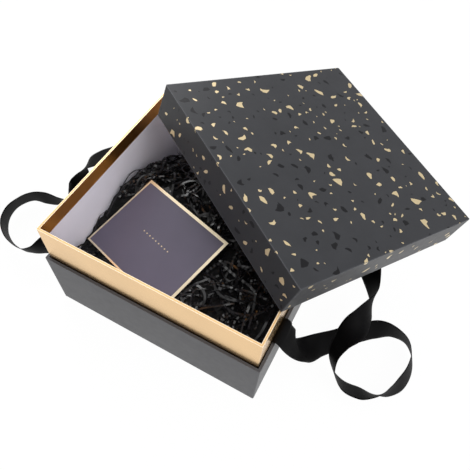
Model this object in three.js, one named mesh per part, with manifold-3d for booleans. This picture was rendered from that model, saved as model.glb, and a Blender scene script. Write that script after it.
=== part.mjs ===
// Square gift box with a collar, a loose lid, two ribbon handles, a card and shredded paper.
// Millimetres, +Z up. The origin is under the middle of the base, on the surface it stands on.
// +X runs along the front wall to the right, and -Y is the front.
import * as THREE from 'three';
import { mergeVertices } from 'three/addons/utils/BufferGeometryUtils.js';
import Module from 'manifold-3d';

const wasm = await Module();
wasm.setup();

// Driving dimensions of the box
const boxSide = 220;
const baseHeight = 76;
const collarRise = 45;
const lidHeight = 35;
const cornerRadius = 1.2;
const foldRadius = 0.3;
const cornerSteps = 3;

// Sheets, and the glue between them
const board = 1.6;
const paper = 0.2;
const stayTape = 0.1;
const glueLine = 0.15;

// What turns in, turns under or laps
const baseTurnIn = 18;
const baseTurnUnder = 18;
const lidTurnIn = 20;
const foilTurnIn = 15;
const foilBelowRim = 14;
const stayLeg = 20;
const jointTapeWidth = 24;
const boardJoint = 0.3;
const liningSeam = 0.3;
const overrun = 5;

// Ribbon handles
const ribbonWidth = 25;
const ribbonThickness = 0.4;
const ribbonPlay = 0.2;
const ribbonEndLength = 30;
const ribbonRootShare = 0.636;
const ribbonStepsPerPoint = 3;

// Card
const cardLength = 114;
const cardWidth = 87;
const cardStock = 0.5;
const cardFoil = 0.1;
const cardFoilGap = 0.15;
const cardBorderWide = 3;
const cardBorderNarrow = 1.8;
const cardLevel = 71;
const cardLeftGap = 3.27;
const cardFrontGap = 3.76;
const cardTurn = THREE.MathUtils.degToRad(-17.7);
const cardLeanSide = THREE.MathUtils.degToRad(-5.3);
const cardLeanBack = THREE.MathUtils.degToRad(13.6);

// Shredded paper
const fillCap = 75;
const fillGap = 0.3;
const fillCells = 14;
const crumpleDepth = 2.5;
const fillSkin = 1.2;
const fillRise = 5;
const fillRiseReach = 12;
const fillHollowReach = 104;
const fillHollowSlope = 0.58;
const shredCount = 72;
const shredWidth = 2.6;
const shredThickness = 0.3;
const shredPitch = 3.4;
const shredFoldHeight = 2.2;
const shredSink = 0.7;
const shredClear = 0.6;
const shredArch = 5;
const shredTurn = 0.16;
const shredFoldsLeast = 6;
const shredFoldsMost = 12;

// How the loose lid lies: a share of the collar's half side, and the reach past the near corner
const lidBackTouchShare = -0.359;
const lidRightTouchShare = -0.649;
const lidNearReach = 5.05;
const restGap = 0.3;

// Wall build-ups, worked out from the sheets
const cover = paper + glueLine + stayTape + glueLine;
const wall = cover + board + glueLine + paper;
const panel = paper + glueLine + board + glueLine + paper;
const collarWall = paper + glueLine + board + glueLine + stayTape + glueLine + paper;
const ribbonSlot = ribbonThickness + 2 * ribbonPlay;
const collarSide = boxSide - 2 * (wall + ribbonSlot);
const collarTop = baseHeight + collarRise;
const collarHalf = collarSide / 2;
const insideHalf = collarHalf - collarWall;
const turnUnderLevel = paper + glueLine;
const baseBoardLevel = turnUnderLevel + paper + glueLine;
const baseFloor = baseBoardLevel + board;
const liningLevel = baseFloor + glueLine;
const fillFloor = liningLevel + paper + fillGap;
const slotMiddle = collarHalf + ribbonSlot / 2;
const ribbonRoot = ribbonRootShare * boxSide / 2;

// Finishes
function finish(color, roughness, metalness = 0) {
  return new THREE.MeshStandardMaterial({ color, roughness, metalness });
}
const darkPaper = finish('#5d5c61', 0.72);
const lidPaper = finish('#4e4e52', 0.6);
const goldFoil = finish('#e0bb8c', 0.32, 0.85);
const whitePaper = finish('#c9c4cf', 0.8);
const greyBoard = finish('#9a958c', 0.95);
const brownTape = finish('#b99a6b', 0.85);
const blackRibbon = finish('#141316', 0.5);
const cardPaper = finish('#5f5a69', 0.65);
const blackShreds = finish('#17161a', 0.35);

function piece(name, geometry, material, parent) {
  const mesh = new THREE.Mesh(geometry, material);
  mesh.name = name;
  parent.add(mesh);
  return mesh;
}

// A closed surface from vertices and triangles, its faces turned outward
function closedGeometry(vertices, triangles) {
  let volume = 0;
  for (const [a, b, c] of triangles) {
    volume += vertices[a].dot(vertices[b].clone().cross(vertices[c]));
  }
  const facing = volume < 0 ? triangles.map(([a, b, c]) => [a, c, b]) : triangles;
  const places = vertices.flatMap((v) => v.toArray());
  const geometry = new THREE.BufferGeometry();
  geometry.setAttribute('position', new THREE.Float32BufferAttribute(places, 3));
  geometry.setIndex(facing.flat());
  geometry.computeVertexNormals();
  return geometry;
}

function toSolid(geometry) {
  const bare = geometry.clone();
  bare.deleteAttribute('normal');
  bare.deleteAttribute('uv');
  const merged = mergeVertices(bare);
  const mesh = new wasm.Mesh({
    numProp: 3,
    vertProperties: Float32Array.from(merged.attributes.position.array),
    triVerts: Uint32Array.from(merged.index.array),
  });
  return new wasm.Manifold(mesh);
}

function fromSolid(solid) {
  const mesh = solid.getMesh();
  const geometry = new THREE.BufferGeometry();
  geometry.setAttribute('position', new THREE.BufferAttribute(Float32Array.from(mesh.vertProperties), 3));
  geometry.setIndex(new THREE.BufferAttribute(Uint32Array.from(mesh.triVerts), 1));
  geometry.computeVertexNormals();
  return geometry;
}

function box(sizeX, sizeY, sizeZ, x, y, z) {
  return new THREE.BoxGeometry(sizeX, sizeY, sizeZ).translate(x, y, z);
}

// The outline of a square with rounded corners, anticlockwise
function squareOutline(half, radius) {
  const outline = [];
  for (let corner = 0; corner < 4; corner++) {
    const diagonal = (corner + 1 / 2) * Math.PI / 2;
    const reach = Math.SQRT2 * (half - radius);
    for (let step = 0; step <= cornerSteps; step++) {
      const angle = (corner + step / cornerSteps) * Math.PI / 2;
      outline.push(new THREE.Vector2(
        reach * Math.cos(diagonal) + radius * Math.cos(angle),
        reach * Math.sin(diagonal) + radius * Math.sin(angle),
      ));
    }
  }
  return outline;
}

// A profile of [inset, height] carried round a square. A ring closes on itself,
// and a tray is closed in the middle at its first and last point.
function squareBody(side, radius, profile, isRing) {
  const vertices = [];
  const triangles = [];
  for (const [inset, z] of profile) {
    const outline = squareOutline(side / 2 - inset, Math.max(radius - inset, foldRadius));
    vertices.push(...outline.map((p) => new THREE.Vector3(p.x, p.y, z)));
  }
  const around = vertices.length / profile.length;
  const rows = isRing ? profile.length : profile.length - 1;
  for (let row = 0; row < rows; row++) {
    const next = (row + 1) % profile.length;
    for (let k = 0; k < around; k++) {
      const k2 = (k + 1) % around;
      const a = row * around + k;
      const b = row * around + k2;
      const c = next * around + k2;
      const d = next * around + k;
      triangles.push([a, b, c], [a, c, d]);
    }
  }
  if (!isRing) {
    const first = vertices.push(new THREE.Vector3(0, 0, profile[0][1])) - 1;
    const last = vertices.push(new THREE.Vector3(0, 0, profile.at(-1)[1])) - 1;
    const lastRow = (profile.length - 1) * around;
    for (let k = 0; k < around; k++) {
      const k2 = (k + 1) % around;
      triangles.push([first, k2, k], [last, lastRow + k, lastRow + k2]);
    }
  }
  return closedGeometry(vertices, triangles);
}

// A strip of tape folded round an upright corner of a square
function cornerStay(half, bottom, height) {
  const radius = Math.max(cornerRadius - (boxSide / 2 - half), foldRadius + stayTape);
  const shape = new THREE.Shape();
  shape.moveTo(half - stayLeg, half);
  shape.lineTo(half - stayLeg, half - stayTape);
  shape.lineTo(half - radius, half - stayTape);
  shape.absarc(half - radius, half - radius, radius - stayTape, Math.PI / 2, 0, true);
  shape.lineTo(half - stayTape, half - stayLeg);
  shape.lineTo(half, half - stayLeg);
  shape.lineTo(half, half - radius);
  shape.absarc(half - radius, half - radius, radius, 0, Math.PI / 2, false);
  shape.lineTo(half - stayLeg, half);
  const options = { depth: height, bevelEnabled: false, curveSegments: cornerSteps };
  return new THREE.ExtrudeGeometry(shape, options).translate(0, 0, bottom);
}

function addCornerStays(prefix, bottom, height, parent) {
  const half = boxSide / 2 - paper - glueLine;
  const corners = ['back_right', 'back_left', 'front_left', 'front_right'];
  corners.forEach((corner, turn) => {
    const tape = cornerStay(half, bottom, height);
    const stay = piece(`${prefix}_corner_stay_${corner}`, tape, brownTape, parent);
    stay.rotation.z = turn * Math.PI / 2;
  });
}

// Base: a tray of grey board, stayed at its corners and wrapped in dark paper
function addBase(parent) {
  const top = baseHeight - paper - glueLine;
  const boardProfile = [
    [cover, baseBoardLevel],
    [cover, top],
    [cover + board, top],
    [cover + board, baseFloor],
  ];
  piece('base_board', squareBody(boxSide, cornerRadius, boardProfile, false), greyBoard, parent);
  addCornerStays('base', baseBoardLevel, top - baseBoardLevel, parent);

  const wrapProfile = [
    [0, turnUnderLevel],
    [0, baseHeight],
    [wall, baseHeight],
    [wall, baseHeight - baseTurnIn],
    [wall - paper, baseHeight - baseTurnIn],
    [wall - paper, baseHeight - paper],
    [paper, baseHeight - paper],
    [paper, turnUnderLevel + paper],
    [baseTurnUnder, turnUnderLevel + paper],
    [baseTurnUnder, turnUnderLevel],
  ];
  piece('base_wrap', squareBody(boxSide, cornerRadius, wrapProfile, true), darkPaper, parent);

  const sheetProfile = [[0, 0], [0, paper]];
  piece('base_bottom_sheet', squareBody(boxSide, cornerRadius, sheetProfile, false), darkPaper, parent);
}

// Collar: one strip of board scored at three corners and butted on the back wall,
// with gold foil paper outside and over the rim, and white paper below it inside
function addCollar(parent) {
  const boardInset = paper + glueLine;
  const boardTop = collarTop - paper - glueLine;
  const boardProfile = [
    [boardInset, liningLevel],
    [boardInset, boardTop],
    [boardInset + board, boardTop],
    [boardInset + board, liningLevel],
  ];
  const strip = toSolid(squareBody(collarSide, cornerRadius, boardProfile, true));
  const slitDepth = board + 2 * overrun;
  const slit = box(boardJoint, slitDepth, collarTop + 2 * overrun, 0, collarHalf, collarTop / 2);
  piece('collar_board', fromSolid(strip.subtract(toSolid(slit))), greyBoard, parent);

  const liningTop = collarTop - foilTurnIn - liningSeam;
  const tapeHeight = liningTop - liningLevel;
  const tapeMiddle = collarHalf - boardInset - board - glueLine - stayTape / 2;
  const tape = box(jointTapeWidth, stayTape, tapeHeight, 0, tapeMiddle, liningLevel + tapeHeight / 2);
  piece('collar_joint_tape', tape, brownTape, parent);

  const foilBottom = baseHeight - foilBelowRim;
  const foilProfile = [
    [0, foilBottom],
    [0, collarTop],
    [panel, collarTop],
    [panel, collarTop - foilTurnIn],
    [panel - paper, collarTop - foilTurnIn],
    [panel - paper, collarTop - paper],
    [paper, collarTop - paper],
    [paper, foilBottom],
  ];
  piece('collar_foil', squareBody(collarSide, cornerRadius, foilProfile, true), goldFoil, parent);

  const liningProfile = [
    [collarWall - paper, liningLevel],
    [collarWall - paper, liningTop],
    [collarWall, liningTop],
    [collarWall, liningLevel],
  ];
  piece('collar_lining', squareBody(collarSide, cornerRadius, liningProfile, true), whitePaper, parent);

  const floorSide = 2 * (insideHalf - liningSeam);
  const floorProfile = [[0, liningLevel], [0, liningLevel + paper]];
  piece('floor_lining', squareBody(floorSide, foldRadius, floorProfile, false), whitePaper, parent);
}

// One wall board of the lid: it rounds the corner at its far end and butts on the next wall's board
function lidWallBoard(bottom, height) {
  const half = boxSide / 2 - cover;
  const radius = Math.max(cornerRadius - cover, foldRadius);
  const nearEnd = -half + board + boardJoint;
  const shape = new THREE.Shape();
  shape.moveTo(half, nearEnd);
  shape.lineTo(half, half - radius);
  shape.absarc(half - radius, half - radius, radius, 0, Math.PI / 2, false);
  shape.lineTo(half - board, half);
  shape.lineTo(half - board, nearEnd);
  const options = { depth: height, bevelEnabled: false, curveSegments: cornerSteps };
  return new THREE.ExtrudeGeometry(shape, options).translate(0, 0, bottom);
}

// Lid: a shallow tray of five boards, mouth down, wrapped in one sheet that turns in at the mouth
function addLid(parent) {
  const boardTop = lidHeight - paper - glueLine;
  const wallBottom = paper + glueLine;
  const topProfile = [[cover, boardTop - board], [cover, boardTop]];
  piece('lid_top_board', squareBody(boxSide, cornerRadius, topProfile, false), greyBoard, parent);
  const wallHeight = boardTop - board - boardJoint - wallBottom;
  ['right', 'back', 'left', 'front'].forEach((place, turn) => {
    const wallBoard = piece(`lid_${place}_board`, lidWallBoard(wallBottom, wallHeight), greyBoard, parent);
    wallBoard.rotation.z = turn * Math.PI / 2;
  });
  addCornerStays('lid', wallBottom, boardTop - wallBottom, parent);

  const wrapProfile = [
    [0, lidHeight],
    [0, 0],
    [wall, 0],
    [wall, lidTurnIn],
    [wall - paper, lidTurnIn],
    [wall - paper, paper],
    [paper, paper],
    [paper, lidHeight - paper],
  ];
  piece('lid_wrap', squareBody(boxSide, cornerRadius, wrapProfile, false), lidPaper, parent);

  const liningInset = cover + board + glueLine;
  const liningProfile = [[liningInset, lidHeight - panel], [liningInset, lidHeight - panel + paper]];
  piece('lid_lining', squareBody(boxSide, cornerRadius, liningProfile, false), whitePaper, parent);
}

// The lid lies askew on three points. Two facing walls of its mouth cross the collar's back
// and right faces at rim height, and the collar's back right corner carries its underside.
function lidPlacement() {
  const up = new THREE.Vector3(0, 0, 1);
  const rimLevel = collarTop + restGap;
  const backTouch = new THREE.Vector3(collarHalf * lidBackTouchShare, collarHalf, rimLevel);
  const rightTouch = new THREE.Vector3(collarHalf, collarHalf * lidRightTouchShare, rimLevel);
  const rimCorner = new THREE.Vector3(collarHalf, collarHalf, collarTop);

  const chord = backTouch.clone().sub(rightTouch);
  const along = chord.clone().normalize();
  const toCorner = along.clone().cross(up);
  const cornerReach = toCorner.dot(rimCorner.clone().sub(backTouch));
  const tilt = Math.asin((lidHeight - panel) / cornerReach);
  const downSlope = toCorner.clone().multiplyScalar(Math.cos(tilt)).addScaledVector(up, -Math.sin(tilt));
  const lidUp = downSlope.clone().cross(along);

  const mouthSpan = boxSide - 2 * wall;
  const skew = Math.acos(mouthSpan / chord.length());
  const lidY = along.clone().multiplyScalar(Math.cos(skew)).addScaledVector(downSlope, -Math.sin(skew));
  const lidX = lidY.clone().cross(lidUp);
  const middle = rightTouch.clone()
    .addScaledVector(lidX, boxSide / 2 - lidNearReach)
    .addScaledVector(lidY, boxSide / 2 - wall);
  return new THREE.Matrix4().makeBasis(lidX, lidY, lidUp).setPosition(middle);
}

// Ribbon routes from the front end to the back end. The points are chosen by hand along the band
// as it lies. Each gives the place of the band's middle, and the way its width points outward,
// backward and upward. The place is outward from the slot in ribbon widths, backward in shares of
// the ends' place, and upward in shares of the base's height.
const rightRibbonCourse = [
  [0, -1, 1.004, 0, 10, 0],
  [0.01, -1, 1.03, 0, 10, 0],
  [0.08, -1, 1.05, 0, 10, 0],
  [0.19, -1, 1.045, 0, 10, 0],
  [0.3, -1, 1.01, 0, 10, 0],
  [0.4, -0.99, 0.93, -1, 10, 0],
  [0.59, -0.94, 0.76, -2, 10, 1],
  [0.76, -0.88, 0.57, -5, 9, 1],
  [0.92, -0.81, 0.38, -8, 6, 1],
  [1.17, -0.68, 0.24, -7, 7, 3],
  [1.51, -0.51, 0.175, -5, 6, 7],
  [1.91, -0.35, 0.15, -4, 5, 8],
  [2.33, -0.18, 0.14, -4, 4, 8],
  [2.78, -0.03, 0.15, -4, 3, 9],
  [3.27, 0.11, 0.16, -3, 3, 9],
  [3.83, 0.18, 0.18, -2, 0, 10],
  [4.41, 0.13, 0.21, -2, -2, 10],
  [4.79, -0.04, 0.21, -3, -1, 9],
  [4.89, -0.26, 0.21, -4, 0, 9],
  [4.78, -0.48, 0.2, -4, 1, 9],
  [4.48, -0.67, 0.18, -2, 0, 10],
  [4.03, -0.8, 0.16, 1, -4, 9],
  [3.45, -0.87, 0.15, 2, -7, 7],
  [2.85, -0.89, 0.18, 2, -7, 7],
  [2.34, -0.82, 0.28, 2, -6, 8],
  [2.09, -0.68, 0.41, 4, -5, 8],
  [2.15, -0.5, 0.51, 6, -5, 6],
  [2.33, -0.31, 0.57, 9, -4, 1],
  [2.49, -0.12, 0.6, 8, -2, -6],
  [2.59, 0.09, 0.59, 5, -1, -9],
  [2.58, 0.3, 0.58, 0, -1, -10],
  [2.35, 0.5, 0.58, -3, -1, -9],
  [2.01, 0.69, 0.6, -6, -3, -8],
  [1.15, 0.92, 0.78, -6, -7, -3],
  [0.73, 0.97, 0.92, -3, -9, -1],
  [0.48, 0.99, 1, -1, -10, 0],
  [0.24, 1, 1.05, 0, -10, 0],
  [0.08, 1, 1.05, 0, -10, 0],
  [0.01, 1, 1.03, 0, -10, 0],
  [0, 1, 1.004, 0, -10, 0],
];
const leftRibbonCourse = [
  [0, -1, 1.004, 0, 10, 0],
  [0.01, -1, 1.03, 0, 10, 0],
  [0.08, -1, 1.05, 0, 10, 0],
  [0.19, -1, 1.045, 0, 10, 0],
  [0.3, -1, 1.01, 0, 10, 0],
  [0.4, -1, 0.93, 0, 10, 0],
  [0.6, -1.02, 0.77, 1, 10, 0],
  [0.88, -1.05, 0.6, 3, 9, 2],
  [1.25, -1.07, 0.45, 5, 6, 5],
  [1.56, -1.13, 0.36, 3, 3, 9],
  [1.87, -1.21, 0.3, 0, 0, 10],
  [2.16, -1.3, 0.27, -2, -2, 10],
  [2.54, -1.36, 0.26, -3, -3, 9],
  [3.1, -1.35, 0.26, -1, -3, 10],
  [3.7, -1.27, 0.24, 1, -1, 10],
  [4.23, -1.12, 0.22, 0, 0, 10],
  [4.53, -0.91, 0.22, -2, 0, 10],
  [4.52, -0.69, 0.22, -3, -1, 9],
  [4.22, -0.5, 0.22, -3, -1, 9],
  [3.68, -0.4, 0.2, -2, 0, 10],
  [3.13, -0.32, 0.16, -4, -1, 9],
  [2.93, -0.24, 0.14, -6, -3, 8],
  [2.8, -0.15, 0.13, -8, -3, 4],
  [2.74, -0.05, 0.16, -10, 0, 0],
  [2.71, 0.04, 0.22, -9, 3, -4],
  [2.72, 0.13, 0.33, -4, 7, -6],
  [2.7, 0.24, 0.46, 3, 8, -5],
  [2.5, 0.36, 0.55, 6, 7, -3],
  [2.1, 0.5, 0.6, 7, 7, -1],
  [1.66, 0.65, 0.63, 7, 7, 0],
  [1.26, 0.79, 0.69, 7, 7, 1],
  [0.92, 0.9, 0.79, 6, 8, 0],
  [0.66, 0.96, 0.91, 3, 9, 0],
  [0.46, 0.99, 1, 1, 10, 0],
  [0.24, 1, 1.05, 0, 10, 0],
  [0.08, 1, 1.05, 0, 10, 0],
  [0.01, 1, 1.03, 0, 10, 0],
  [0, 1, 1.004, 0, 10, 0],
];

// A flat band with thinned edges, swept along a route that also says how it twists. Both of its
// faces are split along the same diagonals, so that they stay apart where it twists.
function bandGeometry(side, course) {
  const middles = new THREE.CatmullRomCurve3(course.map(([out, along, up]) => (
    new THREE.Vector3(side * (slotMiddle + out * ribbonWidth), along * ribbonRoot, up * baseHeight)
  )));
  const widths = new THREE.CatmullRomCurve3(course.map(([, , , out, along, up]) => (
    new THREE.Vector3(side * out, along, up).normalize()
  )));
  const flat = ribbonWidth / 2 - ribbonThickness / 2;
  const section = [
    [-ribbonWidth / 2, 0],
    [-flat, -ribbonThickness / 2],
    [flat, -ribbonThickness / 2],
    [ribbonWidth / 2, 0],
    [flat, ribbonThickness / 2],
    [-flat, ribbonThickness / 2],
  ];
  const steps = (course.length - 1) * ribbonStepsPerPoint;
  const vertices = [];
  const triangles = [];
  for (let step = 0; step <= steps; step++) {
    const middle = middles.getPoint(step / steps);
    const tangent = middles.getTangent(step / steps);
    const width = widths.getPoint(step / steps);
    width.addScaledVector(tangent, -width.dot(tangent)).normalize();
    const face = tangent.clone().cross(width);
    for (const [across, out] of section) {
      vertices.push(middle.clone().addScaledVector(width, across).addScaledVector(face, out));
    }
  }
  const sides = section.length;
  for (let step = 0; step < steps; step++) {
    for (let k = 0; k < sides; k++) {
      const k2 = (k + 1) % sides;
      const a = step * sides + k;
      const b = step * sides + k2;
      if (k < sides / 2) {
        triangles.push([a, b, b + sides], [a, b + sides, a + sides]);
      } else {
        triangles.push([a, b, a + sides], [b, b + sides, a + sides]);
      }
    }
  }
  const end = steps * sides;
  for (let k = 1; k < sides - 1; k++) {
    triangles.push([0, k + 1, k], [end, end + k, end + k + 1]);
  }
  return closedGeometry(vertices, triangles);
}

// Each ribbon's two ends are glued flat in the slot between the base's wall and the collar
function addRibbon(name, side, course, parent) {
  piece(name, bandGeometry(side, course), blackRibbon, parent);
  for (const [place, sign] of [['front', -1], ['back', 1]]) {
    const end = box(
      ribbonThickness, ribbonWidth, ribbonEndLength,
      side * slotMiddle, sign * ribbonRoot, baseHeight - ribbonEndLength / 2,
    );
    piece(`${name}_${place}_end`, end, blackRibbon, parent);
  }
}

// Card, lying on the shredded paper, with a gold foil border that is wider on two sides
const cardGroup = new THREE.Group();
cardGroup.rotation.set(cardLeanBack, cardLeanSide, cardTurn, 'ZYX');

// Place the turned card by its gaps to the collar's left and front walls
function placeCard(geometry) {
  cardGroup.updateMatrixWorld();
  const turned = geometry.clone().applyMatrix4(cardGroup.matrixWorld);
  turned.computeBoundingBox();
  const reach = turned.boundingBox.min;
  const x = -insideHalf + cardLeftGap - reach.x;
  const y = -insideHalf + cardFrontGap - reach.y;
  cardGroup.position.set(x, y, cardLevel);
  cardGroup.updateMatrixWorld();
}
const cardGeometry = box(cardLength, cardWidth, cardStock, 0, 0, 0);
placeCard(cardGeometry);

function addCard(parent) {
  piece('card', cardGeometry, cardPaper, parent);
  const halfX = cardLength / 2;
  const halfY = cardWidth / 2;
  const frame = new THREE.Shape([
    new THREE.Vector2(-halfX, -halfY),
    new THREE.Vector2(halfX, -halfY),
    new THREE.Vector2(halfX, halfY),
    new THREE.Vector2(-halfX, halfY),
  ]);
  frame.holes.push(new THREE.Path([
    new THREE.Vector2(-halfX + cardBorderNarrow, -halfY + cardBorderNarrow),
    new THREE.Vector2(-halfX + cardBorderNarrow, halfY - cardBorderWide),
    new THREE.Vector2(halfX - cardBorderWide, halfY - cardBorderWide),
    new THREE.Vector2(halfX - cardBorderWide, -halfY + cardBorderNarrow),
  ]));
  const border = new THREE.ExtrudeGeometry(frame, { depth: cardFoil, bevelEnabled: false });
  border.translate(0, 0, cardStock / 2 + cardFoilGap);
  piece('card_foil_border', border, goldFoil, parent);
}

// The same sequence of numbers from 0 to 1 at every build
function numberStream(seed) {
  let state = seed;
  return () => {
    state = (Math.imul(state, 1664525) + 1013904223) >>> 0;
    return state / 2 ** 32;
  };
}

// Height of the card's underside over a place, as a plane that runs on past the card
const cardUp = new THREE.Vector3(0, 0, 1).applyQuaternion(cardGroup.quaternion);
function cardPlane(x, y) {
  const origin = cardGroup.position;
  const fall = cardUp.x * (x - origin.x) + cardUp.y * (y - origin.y) + cardStock / 2;
  return origin.z - fall / cardUp.z;
}

// How far a place lies outside the card's outline, seen from above
const cardFromPlace = new THREE.Matrix4().copy(cardGroup.matrixWorld).invert();
function outsideCard(x, y) {
  const place = new THREE.Vector3(x, y, cardPlane(x, y)).applyMatrix4(cardFromPlace);
  const pastX = Math.max(Math.abs(place.x) - cardLength / 2, 0);
  const pastY = Math.max(Math.abs(place.y) - cardWidth / 2, 0);
  return Math.hypot(pastX, pastY);
}

// Bed and skin of the shredded paper, as grids of heights over the inside of the collar.
// The paper sinks away towards the collar's back left corner.
const fillHalf = insideHalf - fillGap;
const crumple = numberStream(7);
const bedHeights = [];
const skinHeights = [];
for (let row = 0; row <= fillCells; row++) {
  for (let column = 0; column <= fillCells; column++) {
    const x = fillHalf * (2 * column / fillCells - 1);
    const y = fillHalf * (2 * row / fillCells - 1);
    const fromCorner = Math.hypot(x + insideHalf, insideHalf - y);
    const cap = fillCap - fillHollowSlope * Math.max(fillHollowReach - fromCorner, 0);
    const rest = Math.min(cardPlane(x, y), cap) - fillGap - fillSkin - fillGap;
    const bed = rest - crumpleDepth * crumple();
    const rise = fillRise * (cap / fillCap) * (1 - Math.exp(-outsideCard(x, y) / fillRiseReach));
    bedHeights.push(bed);
    skinHeights.push(bed + fillGap + fillSkin + rise + crumpleDepth * crumple());
  }
}

function heightGrid(topHeights, bottomHeights) {
  const vertices = [];
  const triangles = [];
  const across = fillCells + 1;
  for (const heights of [topHeights, bottomHeights]) {
    heights.forEach((z, index) => {
      const x = fillHalf * (2 * (index % across) / fillCells - 1);
      const y = fillHalf * (2 * Math.floor(index / across) / fillCells - 1);
      vertices.push(new THREE.Vector3(x, y, z));
    });
  }
  const below = across * across;
  for (let row = 0; row < fillCells; row++) {
    for (let column = 0; column < fillCells; column++) {
      const a = row * across + column;
      const b = a + 1;
      const c = b + across;
      const d = a + across;
      triangles.push([a, b, c], [a, c, d]);
      triangles.push([below + a, below + c, below + b], [below + a, below + d, below + c]);
    }
  }
  const rim = [];
  for (let k = 0; k < fillCells; k++) rim.push(k);
  for (let k = 0; k < fillCells; k++) rim.push(k * across + fillCells);
  for (let k = fillCells; k > 0; k--) rim.push(fillCells * across + k);
  for (let k = fillCells; k > 0; k--) rim.push(k * across);
  rim.forEach((from, index) => {
    const to = rim[(index + 1) % rim.length];
    triangles.push([from, below + from, below + to], [from, below + to, to]);
  });
  return closedGeometry(vertices, triangles);
}

function skinHeight(x, y) {
  const across = fillCells + 1;
  const u = (x / fillHalf + 1) * fillCells / 2;
  const v = (y / fillHalf + 1) * fillCells / 2;
  const column = Math.min(Math.floor(u), fillCells - 1);
  const row = Math.min(Math.floor(v), fillCells - 1);
  const s = u - column;
  const t = v - row;
  const at = row * across + column;
  const [h00, h10, h01, h11] = [0, 1, across, across + 1].map((step) => skinHeights[at + step]);
  return s > t ? h00 + s * (h10 - h00) + t * (h11 - h10) : h00 + t * (h01 - h00) + s * (h11 - h01);
}

// The folds of one crinkled shred: places along a bending path, up and down in turn
function shredFolds(random) {
  const folds = shredFoldsLeast + Math.floor(random() * (shredFoldsMost - shredFoldsLeast + 1));
  const turn = shredTurn * (2 * random() - 1);
  const arch = shredArch * random();
  let heading = 2 * Math.PI * random();
  let x = fillHalf * (2 * random() - 1);
  let y = fillHalf * (2 * random() - 1);
  const places = [];
  for (let fold = 0; fold <= folds; fold++) {
    places.push({ x, y, heading });
    heading += turn;
    x += shredPitch / 2 * Math.cos(heading);
    y += shredPitch / 2 * Math.sin(heading);
  }
  const isClear = places.every((place) => (
    Math.max(Math.abs(place.x), Math.abs(place.y)) < fillHalf - shredWidth
    && outsideCard(place.x, place.y) > shredWidth
  ));
  if (!isClear) return null;
  return places.map((place, fold) => {
    const isRooted = fold === 0 || fold === folds;
    const rest = isRooted ? -shredSink : shredClear + arch * Math.sin(Math.PI * fold / folds);
    const crest = fold % 2 && !isRooted ? shredFoldHeight : 0;
    return { ...place, z: skinHeight(place.x, place.y) + rest + crest };
  });
}

function shredGeometry(folds) {
  const vertices = [];
  const triangles = [];
  for (const { x, y, z, heading } of folds) {
    const acrossX = -Math.sin(heading) * shredWidth / 2;
    const acrossY = Math.cos(heading) * shredWidth / 2;
    for (const [side, out] of [[-1, -1], [1, -1], [1, 1], [-1, 1]]) {
      vertices.push(new THREE.Vector3(x + side * acrossX, y + side * acrossY, z + out * shredThickness / 2));
    }
  }
  for (let fold = 0; fold < folds.length - 1; fold++) {
    for (let k = 0; k < 4; k++) {
      const a = fold * 4 + k;
      const b = fold * 4 + (k + 1) % 4;
      triangles.push([a, b, b + 4], [a, b + 4, a + 4]);
    }
  }
  const end = (folds.length - 1) * 4;
  triangles.push([0, 2, 1], [0, 3, 2], [end, end + 1, end + 2], [end, end + 2, end + 3]);
  return closedGeometry(vertices, triangles);
}

// The room that the card needs to lie and to be lifted straight out
function cardRoom() {
  const sizeX = cardLength + 2 * fillGap;
  const sizeY = cardWidth + 2 * fillGap;
  const depth = collarTop;
  const room = box(sizeX, sizeY, depth, 0, 0, depth / 2 - cardStock / 2 - fillGap);
  return room.applyMatrix4(cardGroup.matrixWorld);
}

function addFilling(parent) {
  const floor = bedHeights.map(() => fillFloor);
  piece('shred_bed', heightGrid(bedHeights, floor), blackShreds, parent);

  const random = numberStream(11);
  const undersides = bedHeights.map((z) => z + fillGap);
  let shreds = toSolid(heightGrid(skinHeights, undersides));
  for (let placed = 0; placed < shredCount;) {
    const folds = shredFolds(random);
    if (folds) {
      shreds = shreds.add(toSolid(shredGeometry(folds)));
      placed += 1;
    }
  }
  piece('shreds', fromSolid(shreds.subtract(toSolid(cardRoom()))), blackShreds, parent);
}

const giftBox = new THREE.Group();
addBase(giftBox);
addCollar(giftBox);
addRibbon('ribbon_right', 1, rightRibbonCourse, giftBox);
addRibbon('ribbon_left', -1, leftRibbonCourse, giftBox);
addFilling(giftBox);
addCard(cardGroup);
giftBox.add(cardGroup);

const lid = new THREE.Group();
lid.applyMatrix4(lidPlacement());
addLid(lid);
giftBox.add(lid);

export default giftBox;
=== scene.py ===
import math
import random

import bmesh
import bpy
from mathutils import Matrix, Vector
from mathutils.bvhtree import BVHTree


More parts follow.
